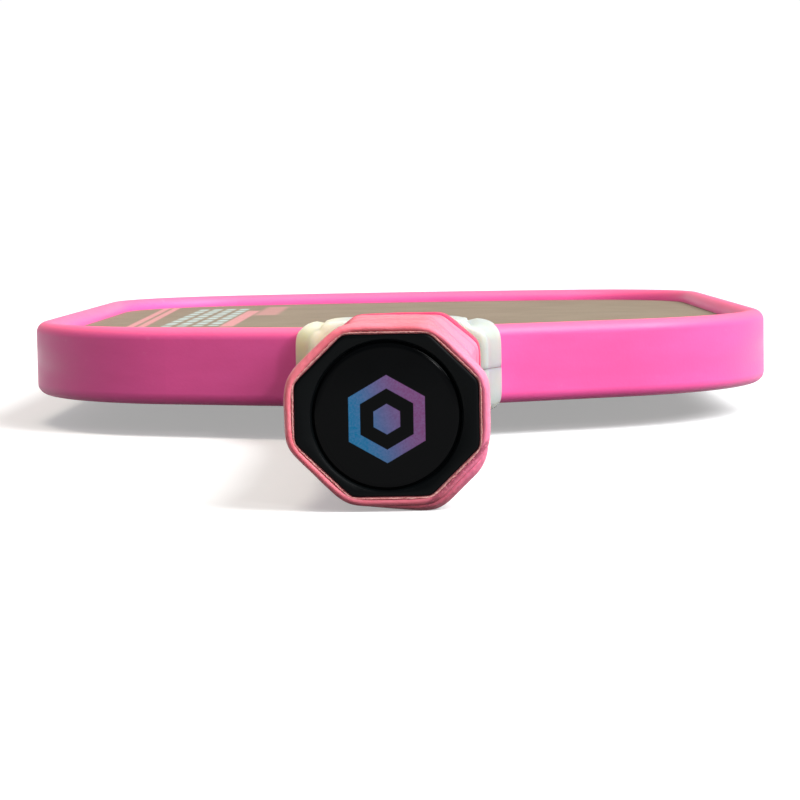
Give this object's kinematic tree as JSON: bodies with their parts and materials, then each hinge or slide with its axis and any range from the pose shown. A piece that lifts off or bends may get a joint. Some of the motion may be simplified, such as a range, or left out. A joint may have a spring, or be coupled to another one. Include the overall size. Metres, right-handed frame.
{
  "type": "pickleball paddle",
  "caption": "Flat paddle racket: rounded rectangular honeycomb head with a raised edge guard, split throat collar, wrapped octagonal handle and a capped butt.",
  "frame": {"origin": "bottom centre of the bounding box: under the middle of the paddle's length, on the plane that the butt's wrap touches when it lies on its back", "axes": "+Y runs from the butt to the tip of the head, +Z is the normal of the front hitting face, +X is across the head"},
  "size_m": [0.194, 0.412, 0.0337],
  "materials": {
    "guard": "satin moulded plastic",
    "bond_tape": "double-sided foam tape",
    "core": "extruded polymer honeycomb",
    "foam": "injected edge foam",
    "film": "adhesive film",
    "face": "raw woven composite, matte",
    "scale": "moulded foam scale",
    "collar": "satin moulded plastic",
    "cap": "moulded black plastic",
    "badge": "glossy domed badge",
    "staple": "bright steel wire",
    "base_grip": "cushioned base grip",
    "overgrip": "tacky overgrip, matte",
    "finishing_tape": "elastic finishing tape"
  },
  "bodies": {
    "root": {"edge_guard": "guard", "guard_bond_tape": "bond_tape", "honeycomb_core": "core", "perimeter_foam": "foam", "front_adhesive_film": "film", "back_adhesive_film": "film", "front_face_sheet": "face", "back_face_sheet": "face", "handle_scale_front": "scale", "handle_scale_back": "scale", "throat_collar_front": "collar", "throat_collar_back": "collar", "butt_cap": "cap", "butt_badge": "badge", "cap_staple_front": "staple", "cap_staple_back": "staple", "base_grip": "base_grip", "overgrip": "overgrip", "finishing_tape": "finishing_tape"}
  },
  "joints": []
}
